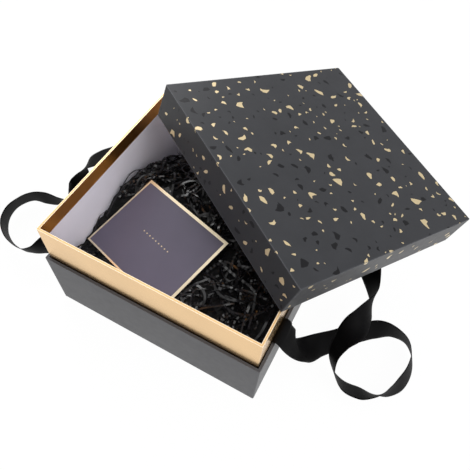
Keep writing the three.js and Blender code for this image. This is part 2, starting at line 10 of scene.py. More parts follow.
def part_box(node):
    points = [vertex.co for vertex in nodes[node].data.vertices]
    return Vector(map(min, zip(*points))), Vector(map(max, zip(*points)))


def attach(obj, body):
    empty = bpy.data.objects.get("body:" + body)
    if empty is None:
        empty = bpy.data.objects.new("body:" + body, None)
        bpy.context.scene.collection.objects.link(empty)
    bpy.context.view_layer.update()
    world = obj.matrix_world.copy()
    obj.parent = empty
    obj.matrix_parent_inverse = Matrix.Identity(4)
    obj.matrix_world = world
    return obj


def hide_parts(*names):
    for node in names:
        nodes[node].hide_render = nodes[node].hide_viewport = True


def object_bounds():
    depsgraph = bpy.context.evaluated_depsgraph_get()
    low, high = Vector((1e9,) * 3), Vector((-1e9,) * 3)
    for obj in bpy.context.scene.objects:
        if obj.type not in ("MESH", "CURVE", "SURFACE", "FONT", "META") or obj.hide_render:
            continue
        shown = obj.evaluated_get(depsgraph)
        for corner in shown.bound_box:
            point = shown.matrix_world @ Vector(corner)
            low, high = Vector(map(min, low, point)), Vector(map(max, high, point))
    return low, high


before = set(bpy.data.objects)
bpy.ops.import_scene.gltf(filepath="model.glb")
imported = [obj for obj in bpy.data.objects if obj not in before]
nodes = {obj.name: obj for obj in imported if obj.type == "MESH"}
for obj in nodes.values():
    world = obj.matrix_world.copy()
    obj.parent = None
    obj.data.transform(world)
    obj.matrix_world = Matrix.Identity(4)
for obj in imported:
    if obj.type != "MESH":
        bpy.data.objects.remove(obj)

cad_low, cad_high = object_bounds()
MM = 0.001
scene = bpy.context.scene
scene.view_settings.view_transform = "Standard"


# Camera, at the photograph's angle, with its turns in degrees
FRAME_PIXELS = 470
FOCAL_PIXELS = 494.95
SENSOR = 36
NEAR_CLIP = 0.01
CAMERA_PLACE = (0.13756, -0.24001, 0.47176)
CAMERA_TURN = 24.48
CAMERA_TILT = 33.50
CAMERA_ROLL = 4.45


def add_camera():
    data = bpy.data.cameras.new("camera")
    data.sensor_width = SENSOR
    data.lens = SENSOR * FOCAL_PIXELS / FRAME_PIXELS
    data.clip_start = NEAR_CLIP
    camera = bpy.data.objects.new("camera", data)
    scene.collection.objects.link(camera)
    turn = Matrix.Rotation(math.radians(CAMERA_TURN), 4, "Z")
    tilt = Matrix.Rotation(math.radians(CAMERA_TILT), 4, "X")
    roll = Matrix.Rotation(math.radians(CAMERA_ROLL), 4, "Z")
    camera.matrix_world = Matrix.Translation(CAMERA_PLACE) @ turn @ tilt @ roll
    scene.camera = camera


add_camera()


# Meshes
def mesh_object(name, vertices, faces, material, smooth=False):
    mesh = bpy.data.meshes.new(name)
    mesh.from_pydata([tuple(v) for v in vertices], [], faces)
    mesh.validate()
    mesh.polygons.foreach_set("use_smooth", [smooth] * len(mesh.polygons))
    mesh.materials.append(material)
    obj = bpy.data.objects.new(name, mesh)
    scene.collection.objects.link(obj)
    return obj


def flip_outward(piece):
    shape = bmesh.new()
    shape.from_mesh(piece.data)
    bmesh.ops.recalc_face_normals(shape, faces=shape.faces)
    shape.to_mesh(piece.data)
    shape.free()


def add_skin(start, count, ring, faces):
    """The faces of a closed bar: its sides, along a count of rings of vertices, and its two ends."""
    for k in range(count - 1):
        for j in range(ring):
            a = start + k * ring + j
            b = start + k * ring + (j + 1) % ring
            faces.append((a, b, b + ring, a + ring))
    faces.append(tuple(range(start + ring - 1, start - 1, -1)))
    end = start + (count - 1) * ring
    faces.append(tuple(range(end, end + ring)))


def add_prism(upper, lower, vertices, faces):
    """A closed flat piece between two outlines, one over the other."""
    start = len(vertices)
    count = len(upper)
    vertices.extend(upper + lower)
    faces.append(tuple(range(start, start + count)))
    faces.append(tuple(range(start + 2 * count - 1, start + count - 1, -1)))
    for k in range(count):
        after = (k + 1) % count
        faces.append((start + after, start + k, start + count + k, start + count + after))


# Node trees
WHITE = (1, 1, 1, 1)
SHADE_LOW = 0.3
SHADE_HIGH = 0.7
# How far from a fold the painted highlight reaches, on paper and on the collar's rim
FOLD_HIGHLIGHT_REACH = 1.3 * MM
RIM_HIGHLIGHT_REACH = 0.9 * MM
BEVEL_SAMPLES = 8
# Cosines of the turn at a fold where its painted highlight starts and where it is full
HIGHLIGHT_STARTS = 0.97
HIGHLIGHT_FULL = 0.75
# The Mix node's sockets for colours, which share their names with those for numbers
MIX_FACTOR = 0
MIX_FIRST_COLOR = 6
MIX_SECOND_COLOR = 7
MIX_COLOR_RESULT = 2


def shade(color, factor):
    return tuple(min(1, channel * factor) for channel in color)


class NodeTree:
    """A node tree, with short calls to add nodes to it."""

    def __init__(self, tree):
        self.tree = tree

    def node(self, kind, **values):
        made = self.tree.nodes.new(kind)
        for key, value in values.items():
            if hasattr(made, key):
                setattr(made, key, value)
            else:
                made.inputs[key.replace("_", " ")].default_value = value
        return made

    def link(self, output, target):
        self.tree.links.new(output, target)

    def calculate(self, operation, first, second=None):
        """The result of an operation on an output, and on a number or another output."""
        made = self.node("ShaderNodeMath", operation=operation)
        self.link(first, made.inputs[0])
        if isinstance(second, (int, float)):
            made.inputs[1].default_value = second
        elif second is not None:
            self.link(second, made.inputs[1])
        return made.outputs["Value"]


class Material(NodeTree):
    """A material with a Principled shader, and short calls for its textures."""

    def __init__(self, name, color, roughness, metallic=0.0):
        self.material = bpy.data.materials.new(name)
        self.material.use_nodes = True
        super().__init__(self.material.node_tree)
        self.shader = self.tree.nodes["Principled BSDF"]
        self.set("Base Color", (*color, 1))
        self.set("Roughness", roughness)
        self.set("Metallic", metallic)

    def set(self, socket, value):
        self.shader.inputs[socket].default_value = value

    def drive(self, socket, output):
        self.link(output, self.shader.inputs[socket])

    def coordinates(self, kind="Object"):
        return self.node("ShaderNodeTexCoord").outputs[kind]

    def scaled(self, source, scale):
        mapping = self.node("ShaderNodeMapping", Scale=scale)
        self.link(source, mapping.inputs["Vector"])
        return mapping.outputs["Vector"]

    def noise(self, vector, scale, detail=3.0, roughness=0.5):
        made = self.node("ShaderNodeTexNoise", Scale=scale, Detail=detail, Roughness=roughness)
        self.link(vector, made.inputs["Vector"])
        return made.outputs["Fac"]

    def ramp(self, factor, stops):
        made = self.node("ShaderNodeValToRGB")
        elements = made.color_ramp.elements
        while len(elements) < len(stops):
            elements.new(0.5)
        for element, (place, color) in zip(elements, stops):
            element.position = place
            element.color = (*color, 1)
        self.link(factor, made.inputs["Fac"])
        return made.outputs["Color"]

    def shades(self, factor, color, darkest, lightest):
        """The colour, between two shades of itself."""
        stops = [(SHADE_LOW, shade(color, darkest)), (SHADE_HIGH, shade(color, lightest))]
        return self.ramp(factor, stops)

    def spread(self, factor, low, high):
        made = self.node("ShaderNodeMapRange", To_Min=low, To_Max=high)
        self.link(factor, made.inputs["Value"])
        return made.outputs["Result"]

    def vary_roughness(self, factor, middle, reach):
        """A roughness that varies so far about its middle."""
        self.drive("Roughness", self.spread(factor, middle - reach, middle + reach))

    def painted_fold_highlight(self, color, highlight_color, reach=FOLD_HIGHLIGHT_REACH):
        """The colour, giving way to a lighter one along sharp folds: a painted highlight."""
        fold = self.node("ShaderNodeBevel", samples=BEVEL_SAMPLES, Radius=reach)
        turned = self.node("ShaderNodeVectorMath", operation="DOT_PRODUCT")
        self.link(fold.outputs["Normal"], turned.inputs[0])
        self.link(self.node("ShaderNodeNewGeometry").outputs["Normal"], turned.inputs[1])
        highlight_share = self.node("ShaderNodeMapRange", From_Min=HIGHLIGHT_STARTS, From_Max=HIGHLIGHT_FULL)
        self.link(turned.outputs["Value"], highlight_share.inputs["Value"])
        mix = self.node("ShaderNodeMix", data_type="RGBA")
        self.link(highlight_share.outputs["Result"], mix.inputs[MIX_FACTOR])
        self.link(color, mix.inputs[MIX_FIRST_COLOR])
        mix.inputs[MIX_SECOND_COLOR].default_value = (*highlight_color, 1)
        return mix.outputs[MIX_COLOR_RESULT]

    def bump(self, height, strength, distance):
        """A bump on top of those that are there."""
        made = self.node("ShaderNodeBump", Strength=strength, Distance=distance)
        self.link(height, made.inputs["Height"])
        if self.shader.inputs["Normal"].is_linked:
            self.link(self.shader.inputs["Normal"].links[0].from_socket, made.inputs["Normal"])
        self.drive("Normal", made.outputs["Normal"])


# Materials: textures are in cells per metre, and the heights of bumps in metres
PAPER_CLOUDS = 45
PAPER_GLOSS_PATCHES = 160
PAPER_GLOSS_SPREAD = 0.05
PAPER_FIBRES = 2600
PAPER_FIBRE_HEIGHT = 0.08 * MM
PAPER_WAVES = 60
PAPER_WAVE_STRENGTH = 0.15
PAPER_WAVE_HEIGHT = 0.2 * MM


def paper_material(name, color, roughness, fibre=0.12, mottle=0.06, gloss=0.5, highlight_gain=0):
    """Coated paper on board: a faint mottle, fine fibres, a slightly uneven gloss and, if asked, a
    painted fold highlight.
    """
    made = Material(name, color, roughness)
    made.set("Specular IOR Level", gloss)
    where = made.coordinates()
    sheet = made.shades(made.noise(where, PAPER_CLOUDS, 4), color, 1 - mottle, 1 + mottle)
    # A lighter colour along the folds here is a painted highlight.
    made.drive("Base Color", made.painted_fold_highlight(sheet, shade(color, 1 + highlight_gain)) if highlight_gain else sheet)
    made.vary_roughness(made.noise(where, PAPER_GLOSS_PATCHES, 2), roughness, PAPER_GLOSS_SPREAD)
    made.bump(made.noise(where, PAPER_FIBRES, 3, 0.6), fibre, PAPER_FIBRE_HEIGHT)
    made.bump(made.noise(where, PAPER_WAVES, 2), PAPER_WAVE_STRENGTH, PAPER_WAVE_HEIGHT)
    return made.material


FOIL_STREAKS = 60
FOIL_STREAK_STRETCH = (1, 1, 20)
FOIL_GLOSS_SPREAD = 0.02
FOIL_CLOUDS = 25
FOIL_DARKEST = 0.96
FOIL_LIGHTEST = 1.03
FOIL_WAVES = 30
FOIL_WAVE_STRENGTH = 0.03
FOIL_WAVE_HEIGHT = 0.3 * MM


def foil_material(name, color, roughness, metallic=1.0, highlight_color=None):
    """Metallised paper: a smooth metal with long, faint streaks from the rolling, and if asked a painted
    fold highlight.
    """
    made = Material(name, color, roughness, metallic)
    where = made.coordinates()
    streaks = made.noise(made.scaled(where, FOIL_STREAK_STRETCH), FOIL_STREAKS, 3)
    made.vary_roughness(streaks, roughness, FOIL_GLOSS_SPREAD)
    sheet = made.shades(made.noise(where, FOIL_CLOUDS, 3), color, FOIL_DARKEST, FOIL_LIGHTEST)
    # A lighter colour along the folds here is a painted highlight.
    made.drive("Base Color", made.painted_fold_highlight(sheet, highlight_color, RIM_HIGHLIGHT_REACH) if highlight_color else sheet)
    made.bump(made.noise(where, FOIL_WAVES, 2), FOIL_WAVE_STRENGTH, FOIL_WAVE_HEIGHT)
    return made.material


BOARD_GREY = (0.33, 0.3, 0.27)
BOARD_SHADES = [(0.35, (0.22, 0.2, 0.18)), (0.5, BOARD_GREY), (0.68, (0.43, 0.4, 0.36))]
BOARD_ROUGHNESS = 0.95
BOARD_FLECKS = 1400
BOARD_FIBRES = 1800
BOARD_FIBRE_STRENGTH = 0.35
BOARD_FIBRE_HEIGHT = 0.1 * MM


def board_material():
    """Grey board: recycled fibre with light and dark flecks."""
    made = Material("grey_board", BOARD_GREY, BOARD_ROUGHNESS)
    where = made.coordinates()
    made.drive("Base Color", made.ramp(made.noise(where, BOARD_FLECKS, 4, 0.7), BOARD_SHADES))
    made.bump(made.noise(where, BOARD_FIBRES, 4, 0.7), BOARD_FIBRE_STRENGTH, BOARD_FIBRE_HEIGHT)
    return made.material


TAPE_BROWN = (0.48, 0.33, 0.14)
TAPE_SHADES = [(0.3, (0.42, 0.28, 0.12)), (0.7, (0.52, 0.37, 0.17))]
TAPE_ROUGHNESS = 0.8
TAPE_STREAKS = 900
TAPE_STREAK_STRETCH = (1, 1, 0.1)
TAPE_FIBRES = 2000
TAPE_FIBRE_STRENGTH = 0.2
TAPE_FIBRE_HEIGHT = 0.05 * MM


def tape_material():
    """Brown paper tape, streaked along the fibres."""
    made = Material("brown_tape", TAPE_BROWN, TAPE_ROUGHNESS)
    where = made.coordinates()
    streaks = made.noise(made.scaled(where, TAPE_STREAK_STRETCH), TAPE_STREAKS, 3)
    made.drive("Base Color", made.ramp(streaks, TAPE_SHADES))
    made.bump(made.noise(where, TAPE_FIBRES, 3), TAPE_FIBRE_STRENGTH, TAPE_FIBRE_HEIGHT)
    return made.material


RIBBON_BLACK = (0.0025, 0.0024, 0.0028)
RIBBON_ROUGHNESS = 0.58
RIBBON_GLOSS_SPREAD = 0.08
WEFT_PITCH = 0.5 * MM
WEFT_STRENGTH = 0.1
WEFT_HEIGHT = 0.06 * MM
THREADS = (900, 90, 1)
THREAD_STRENGTH = 0.12
THREAD_HEIGHT = 0.05 * MM


def ribbon_material():
    """Black satin: fine weft ridges across the band, carried by its own lengthwise map."""
    made = Material("black_ribbon", RIBBON_BLACK, RIBBON_ROUGHNESS)
    made.set("Sheen Weight", 0.015)
    made.set("Sheen Roughness", 0.4)
    made.set("Specular IOR Level", 0.07)
    place = made.coordinates("UV")
    separate = made.node("ShaderNodeSeparateXYZ")
    made.link(place, separate.inputs["Vector"])
    turns = made.calculate("MULTIPLY", separate.outputs["Y"], 2 * math.pi / WEFT_PITCH)
    threads = made.noise(made.scaled(place, THREADS), 1, 3)
    made.vary_roughness(threads, RIBBON_ROUGHNESS, RIBBON_GLOSS_SPREAD)
    made.bump(made.calculate("SINE", turns), WEFT_STRENGTH, WEFT_HEIGHT)
    made.bump(threads, THREAD_STRENGTH, THREAD_HEIGHT)
    return made.material


SHRED_BLACK = (0.005, 0.0048, 0.0055)
SHRED_SHADES = [(0.35, (0.003, 0.003, 0.0035)), (0.7, (0.008, 0.0075, 0.009))]
SHRED_CLOUDS = 90
SHRED_GLOSS_PATCHES = 220
SHRED_FIBRES = 1500
SHRED_FIBRE_STRENGTH = 0.1
SHRED_FIBRE_HEIGHT = 0.1 * MM
DULL_IOR = 1.4
SHRED_IOR_GAIN = 0.06


def shred_material(name, light, smoothest, roughest):
    """Black paper, cut and crinkled: glossy on the strips, dull and darker as painted shade in the depth
    of the heap.
    """
    # A light below 1 darkens the colour as painted shade, and lowers the gloss.
    made = Material(name, shade(SHRED_BLACK, light), smoothest)
    made.set("IOR", DULL_IOR + SHRED_IOR_GAIN * light)
    where = made.coordinates()
    made.drive("Roughness", made.spread(made.noise(where, SHRED_GLOSS_PATCHES, 3), smoothest, roughest))
    stops = [(place, shade(color, light)) for place, color in SHRED_SHADES]
    made.drive("Base Color", made.ramp(made.noise(where, SHRED_CLOUDS, 2), stops))
    made.bump(made.noise(where, SHRED_FIBRES, 2), SHRED_FIBRE_STRENGTH, SHRED_FIBRE_HEIGHT)
    return made.material


PAPER_GREY = (0.062, 0.062, 0.069)
LID_GREY = (0.038, 0.039, 0.043)
GOLD = (0.85, 0.565, 0.275)
# Painted highlight: base_paper and lid_paper turn lighter along their folds by their highlight gain.
base_paper = paper_material("base_paper", PAPER_GREY, 0.42, gloss=0.3, highlight_gain=0.5)
# The edge materials are lighter copies of the papers and the gold: a painted highlight on the rounded
# folds.
base_edge_highlight = paper_material("base_paper_edge_highlight", shade(PAPER_GREY, 1.8), 0.5)
lid_paper = paper_material("lid_paper", LID_GREY, 0.40, gloss=0.18, highlight_gain=1.3)
lid_edge_highlight = paper_material("lid_paper_edge_highlight", shade(LID_GREY, 1.9), 0.48)
white_paper = paper_material("white_paper", (0.90, 0.872, 0.955), 0.75, fibre=0.2, mottle=0.02)
card_paper = paper_material("card_paper", (0.098, 0.086, 0.128), 0.5, fibre=0.1, mottle=0.04)
# The collar's outer gold, with a painted highlight along its folds.
collar_gold = foil_material("gold_foil", GOLD, 0.26, highlight_color=(1.0, 0.86, 0.66))
# The rim's upward faces: gold darkened to 85% as painted shade, with a painted highlight along their
# folds.
collar_rim_shaded_gold = foil_material("gold_foil_rim_shaded", shade(GOLD, 0.85), 0.5, highlight_color=(1.0, 0.95, 0.84))
# Painted shade: the collar's inward faces get a darker, browner copy of its gold.
collar_inner_shaded_gold = foil_material("gold_foil_inside_shaded", (0.82, 0.36, 0.07), 0.36)
collar_edge_highlight = foil_material("gold_foil_edge_highlight", (1.0, 0.89, 0.69), 0.24)
card_gold = foil_material("card_foil", (0.88, 0.76, 0.55), 0.38)
fleck_gold = foil_material("fleck_foil", (0.79, 0.64, 0.385), 0.34, metallic=0.6)
fleck_black = paper_material("fleck_gloss", (0.010, 0.010, 0.0115), 0.35, fibre=0.02, gloss=0.2)
grey_board = board_material()
brown_tape = tape_material()
black_ribbon = ribbon_material()
black_shreds = shred_material("black_shreds", 1.0, 0.12, 0.32)
# Painted shade: the heap's shreds are a darker copy of the strips' black.
shaded_deep_shreds = shred_material("black_shreds_deep_shaded", 0.3, 0.7, 0.9)


# Ribbon handles, from the front end to the back end. Each row gives the place of the band's middle
# and the way its width points outward, backward and upward. The place is outward from the slot in
# ribbon widths, backward in shares of the ends' place, and upward in shares of the base's height.
end_low, end_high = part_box("ribbon_right_back_end")
SLOT_MIDDLE = (end_low[0] + end_high[0]) / 2
RIBBON_ROOT = (end_low[1] + end_high[1]) / 2
RIBBON_WIDTH = end_high[1] - end_low[1]
BASE_HEIGHT = end_high[2]
RIBBON_THICKNESS = 0.36 * MM
RIGHT_RIBBON_COURSE = [
    (0, -1, 1.004, 0, 10, 0),
    (0.01, -1, 1.03, 0, 10, 0),
    (0.08, -1, 1.05, 0, 10, 0),
    (0.19, -1, 1.045, 0, 10, 0),
    (0.3, -1, 1.01, 0, 10, 0),
    (0.4, -0.99, 0.93, -1, 10, 0),
    (0.59, -0.94, 0.76, -2, 10, 1),
    (0.76, -0.88, 0.57, -5, 9, 1),
    (0.92, -0.81, 0.38, -8, 6, 1),
    (1.17, -0.68, 0.24, -7, 7, 3),
    (1.51, -0.51, 0.175, -5, 6, 7),
    (1.91, -0.35, 0.15, -4, 5, 8),
    (2.33, -0.18, 0.14, -4, 4, 8),
    (2.78, -0.03, 0.15, -4, 3, 9),
    (3.27, 0.11, 0.16, -3, 3, 9),
    (3.83, 0.18, 0.18, -2, 0, 10),
    (4.41, 0.13, 0.21, -2, -2, 10),
    (4.79, -0.04, 0.21, -3, -1, 9),
    (4.89, -0.26, 0.21, -4, 0, 9),
    (4.78, -0.48, 0.2, -4, 1, 9),
    (4.48, -0.67, 0.18, -2, 0, 10),
    (4.03, -0.8, 0.16, 1, -4, 9),
    (3.45, -0.87, 0.15, 2, -7, 7),
    (2.85, -0.89, 0.18, 2, -7, 7),
    (2.34, -0.82, 0.28, 2, -6, 8),
    (2.09, -0.68, 0.41, 4, -5, 8),
    (2.15, -0.5, 0.51, 6, -5, 6),
    (2.33, -0.31, 0.57, 9, -4, 1),
    (2.49, -0.12, 0.6, 8, -2, -6),
    (2.59, 0.09, 0.59, 5, -1, -9),
    (2.58, 0.3, 0.58, 0, -1, -10),
    (2.35, 0.5, 0.58, -3, -1, -9),
    (2.01, 0.69, 0.6, -6, -3, -8),
    (1.15, 0.92, 0.78, -6, -7, -3),
    (0.73, 0.97, 0.92, -3, -9, -1),
    (0.48, 0.99, 1, -1, -10, 0),
    (0.24, 1, 1.05, 0, -10, 0),
    (0.08, 1, 1.05, 0, -10, 0),
    (0.01, 1, 1.03, 0, -10, 0),
    (0, 1, 1.004, 0, -10, 0),
]
LEFT_RIBBON_COURSE = [
    (0, -1, 1.004, 0, 10, 0),
    (0.01, -1, 1.03, 0, 10, 0),
    (0.08, -1, 1.05, 0, 10, 0),
    (0.19, -1, 1.045, 0, 10, 0),
    (0.3, -1, 1.01, 0, 10, 0),
    (0.4, -1, 0.93, 0, 10, 0),
    (0.6, -1.02, 0.77, 1, 10, 0),
    (0.88, -1.05, 0.6, 3, 9, 2),
    (1.25, -1.07, 0.45, 5, 6, 5),
    (1.56, -1.13, 0.36, 3, 3, 9),
    (1.87, -1.21, 0.3, 0, 0, 10),
    (2.16, -1.3, 0.27, -2, -2, 10),
    (2.54, -1.36, 0.26, -3, -3, 9),
    (3.1, -1.35, 0.26, -1, -3, 10),
    (3.7, -1.27, 0.24, 1, -1, 10),
    (4.23, -1.12, 0.22, 0, 0, 10),
    (4.53, -0.91, 0.22, -2, 0, 10),
    (4.52, -0.69, 0.22, -3, -1, 9),
    (4.22, -0.5, 0.22, -3, -1, 9),
    (3.68, -0.4, 0.2, -2, 0, 10),
    (3.13, -0.32, 0.16, -4, -1, 9),
    (2.93, -0.24, 0.14, -6, -3, 8),
    (2.8, -0.15, 0.13, -8, -3, 4),
    (2.74, -0.05, 0.16, -10, 0, 0),
    (2.71, 0.04, 0.22, -9, 3, -4),
    (2.72, 0.13, 0.33, -4, 7, -6),
    (2.7, 0.24, 0.46, 3, 8, -5),
    (2.5, 0.36, 0.55, 6, 7, -3),
    (2.1, 0.5, 0.6, 7, 7, -1),
    (1.66, 0.65, 0.63, 7, 7, 0),
    (1.26, 0.79, 0.69, 7, 7, 1),
    (0.92, 0.9, 0.79, 6, 8, 0),
    (0.66, 0.96, 0.91, 3, 9, 0),
    (0.46, 0.99, 1, 1, 10, 0),
    (0.24, 1, 1.05, 0, 10, 0),
    (0.08, 1, 1.05, 0, 10, 0),
    (0.01, 1, 1.03, 0, 10, 0),
    (0, 1, 1.004, 0, 10, 0),
]


LEAST_STEP = 1e-6


def smooth_course(points, steps):
    """Centripetal Catmull-Rom curve through the points, with so many steps between two."""
    ends = [points[0] * 2 - points[1], *points, points[-1] * 2 - points[-2]]
    curve = []
    for p0, p1, p2, p3 in zip(ends, ends[1:], ends[2:], ends[3:]):
        d1 = max((p2 - p1).length, LEAST_STEP) ** 0.5
        d0 = max((p1 - p0).length, LEAST_STEP) ** 0.5
        d2 = max((p3 - p2).length, LEAST_STEP) ** 0.5
        m1 = ((p1 - p0) / d0 - (p2 - p0) / (d0 + d1) + (p2 - p1) / d1) * d1
        m2 = ((p2 - p1) / d1 - (p3 - p1) / (d1 + d2) + (p3 - p2) / d2) * d1
        for step in range(steps):
            t = step / steps
            curve.append(p1 + m1 * t + (p2 * 3 - p1 * 3 - m1 * 2 - m2) * t ** 2
                         + (p1 * 2 - p2 * 2 + m1 + m2) * t ** 3)
    curve.append(points[-1].copy())
    return curve


RIBBON_STEPS = 8
RIBBON_LANES = 10
SELVEDGE_SLOPE = 14
SELVEDGE_THICKNESS = 0.35


def add_ribbon(name, side, course, node):
    """A limp satin band: a closed thin strip that follows and twists along its course."""
    middles = smooth_course([
        Vector((side * (SLOT_MIDDLE + out * RIBBON_WIDTH), along * RIBBON_ROOT, up * BASE_HEIGHT))
        for out, along, up, *_ in course
    ], RIBBON_STEPS)
    widths = smooth_course([
        Vector((side * out, along, up)).normalized() for *_, out, along, up in course
    ], RIBBON_STEPS)
    count = len(middles)
    vertices = []
    lengthwise = []
    length = 0.0
    for k, middle in enumerate(middles):
        tangent = (middles[min(k + 1, count - 1)] - middles[max(k - 1, 0)]).normalized()
        width = (widths[k] - tangent * widths[k].dot(tangent)).normalized()
        face = tangent.cross(width)
        if k:
            length += (middle - middles[k - 1]).length
        for level in (1, -1):
            for lane in range(RIBBON_LANES + 1):
                across = level * (lane / RIBBON_LANES - 0.5)
                fullness = min(1.0, (0.5 - abs(across)) * SELVEDGE_SLOPE + SELVEDGE_THICKNESS)
                out = level * RIBBON_THICKNESS / 2 * fullness
                vertices.append(middle + width * (RIBBON_WIDTH * across) + face * out)
                lengthwise.append((RIBBON_WIDTH * across, length))
    faces = []
    add_skin(0, count, 2 * (RIBBON_LANES + 1), faces)
    piece = mesh_object(name, vertices, faces, black_ribbon, smooth=True)
    layer = piece.data.uv_layers.new(name="band")
    for loop in piece.data.loops:
        layer.data[loop.index].uv = lengthwise[loop.vertex_index]
    flip_outward(piece)
    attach(piece, "box")
    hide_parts(node)


add_ribbon("ribbon_right_band", 1, RIGHT_RIBBON_COURSE, "ribbon_right")
add_ribbon("ribbon_left_band", -1, LEFT_RIBBON_COURSE, "ribbon_left")


# Sheets, boards and tapes that keep their solids
INWARD_TURN = 0.5
UPWARD_TURN = 0.9
FOLD_SEGMENTS = 3
FOLD_LEAST_ANGLE = math.radians(50)
BASE_FOLD = 0.25 * MM
COLLAR_FOLD = 0.2 * MM
LID_FOLD = 0.3 * MM


def dress(node, material, edge=None, fold=0.0):
    """Gives a node its material, and its folded edges a small round in a lighter colour: a painted
    highlight.
    """
    piece = nodes[node]
    piece.data.materials.clear()
    piece.data.materials.append(material)
    if fold:
        piece.data.materials.append(edge)
        rounding = piece.modifiers.new("folded edges", "BEVEL")
        rounding.width = fold
        rounding.segments = FOLD_SEGMENTS
        rounding.limit_method = "ANGLE"
        rounding.angle_limit = FOLD_LEAST_ANGLE
        rounding.material = len(piece.data.materials) - 1
        rounding.harden_normals = False


def looks_inward(face):
    turned = face.center.x * face.normal.x + face.center.y * face.normal.y
    return turned < -INWARD_TURN * face.center.xy.length


def looks_up(face):
    return face.normal.z > UPWARD_TURN


def face_where(chosen, node, material):
    """Gives another material to the chosen faces of a node."""
    piece = nodes[node]
    piece.data.materials.append(material)
    last = len(piece.data.materials) - 1
    for face in piece.data.polygons:
        if chosen(face):
            face.material_index = last


def dress_solids():
    dress("base_wrap", base_paper, base_edge_highlight, BASE_FOLD)
    dress("base_bottom_sheet", base_paper)
    dress("collar_foil", collar_gold, collar_edge_highlight, COLLAR_FOLD)
    # The collar's inward faces take a darker copy of its gold as painted shade.
    face_where(looks_inward, "collar_foil", collar_inner_shaded_gold)
    # The rim's upward faces take a darker copy of the gold as painted shade.
    face_where(looks_up, "collar_foil", collar_rim_shaded_gold)
    dress("lid_wrap", lid_paper, lid_edge_highlight, LID_FOLD)
    dress("card", card_paper)
    dress("card_foil_border", card_gold)
    for name in nodes:
        if name.endswith("_lining"):
            dress(name, white_paper)
        if name.endswith("_end"):
            dress(name, black_ribbon)
        if name.endswith("_board"):
            dress(name, grey_board)
        if "_stay_" in name or name.endswith("_tape"):
            dress(name, brown_tape)


dress_solids()


# Flecks of gold foil and of clear gloss, printed on the lid's sheet before it is folded
WALL_LEAN = 0.001
CLEARLY_TURNED = 0.1


def lid_frame():
    """The lid's own axes, from its wrap: the middle of its top, and the panel's half side and depth."""
    mesh = nodes["lid_wrap"].data
    top = max(mesh.polygons, key=lambda face: face.normal.z * face.area)
    up = top.normal.copy()
    level = max(up.dot(v.co) for v in mesh.vertices)
    depth = level - min(up.dot(v.co) for v in mesh.vertices)
    walls = [face for face in mesh.polygons if abs(face.normal.dot(up)) < WALL_LEAN]
    back_right = [face for face in walls if min(face.normal.xy) > CLEARLY_TURNED]
    x_axis = max(back_right, key=lambda face: face.area).normal.copy()
    y_axis = up.cross(x_axis)
    low = Vector([min(axis.dot(v.co) for v in mesh.vertices) for axis in (x_axis, y_axis)])
    high = Vector([max(axis.dot(v.co) for v in mesh.vertices) for axis in (x_axis, y_axis)])
    middle = (low + high) / 2
    origin = x_axis * middle[0] + y_axis * middle[1] + up * level
    axes = Matrix((x_axis, y_axis, up)).transposed().to_4x4()
    return Matrix.Translation(origin) @ axes, (high[0] - low[0]) / 2, depth


CHIP_LONG = (0.8, 1.2)
CHIP_SHORT = (0.34, 0.72)
CHIP_BEND = (-0.7, 0.7)
CHIP_BEND_LEVEL = 0.7
CHIP_TAPER = (-0.5, 0.5)
CHIP_CORNERS = (7, 11)
CORNER_SHIFT = (-0.25, 0.25)
CORNER_REACH = (0.7, 1.2)


def fleck_outline(rng, size):
    """A torn chip: an uneven oval, drawn out, bent and tapered."""
    long_side = size * rng.uniform(*CHIP_LONG) / 2
    short_side = long_side * rng.uniform(*CHIP_SHORT)
    bend = rng.uniform(*CHIP_BEND)
    taper = rng.uniform(*CHIP_TAPER)
    turn = rng.uniform(0, 2 * math.pi)
    count = rng.randint(*CHIP_CORNERS)
    outline = []
    for k in range(count):
        angle = 2 * math.pi * (k + rng.uniform(*CORNER_SHIFT)) / count
        reach = rng.uniform(*CORNER_REACH)
        x = long_side * math.cos(angle) * reach
        y = short_side * math.sin(angle) * reach * (1 + taper * math.cos(angle))
        y += bend * short_side * (2 * (x / long_side) ** 2 - CHIP_BEND_LEVEL)
        outline.append((x * math.cos(turn) - y * math.sin(turn), x * math.sin(turn) + y * math.cos(turn)))
    return outline


def clip(outline, axis, limit, keep_below):
    """The part of an outline on one side of a line across x (axis 0) or y (axis 1)."""
    sign = 1 if keep_below else -1
    kept = []
    for a, b in zip(outline, outline[1:] + outline[:1]):
        inside_a = sign * (limit - a[axis]) >= 0
        inside_b = sign * (limit - b[axis]) >= 0
        if inside_a:
            kept.append(a)
        if inside_a != inside_b:
            t = (limit - a[axis]) / (b[axis] - a[axis])
            kept.append((a[0] + t * (b[0] - a[0]), a[1] + t * (b[1] - a[1])))
    return kept


def window(outline, low, high, half_width):
    """The part of an outline from low to high in x, and within the half width in y."""
    part = clip(clip(outline, 0, low, False), 0, high, True)
    return clip(clip(part, 1, -half_width, False), 1, half_width, True)


FLECK_LIFT = 0.03 * MM
FLECK_SINK = 0.02 * MM
EDGE_MARGIN = 0.9 * MM
FOLD_MARGIN = EDGE_MARGIN / 3
LEAST_FLECK = 0.3 * MM ** 2
LID_WALLS = 4


def lay_part(part, place, vertices, faces):
    """Raises a part of a chip on its panel, unless it is too small to print."""
    area = sum(a[0] * b[1] - a[1] * b[0] for a, b in zip(part, part[1:] + part[:1])) / 2
    if abs(area) >= LEAST_FLECK:
        upper = [place(x, y, FLECK_LIFT) for x, y in part]
        lower = [place(x, y, -FLECK_SINK) for x, y in part]
        add_prism(upper, lower, vertices, faces)


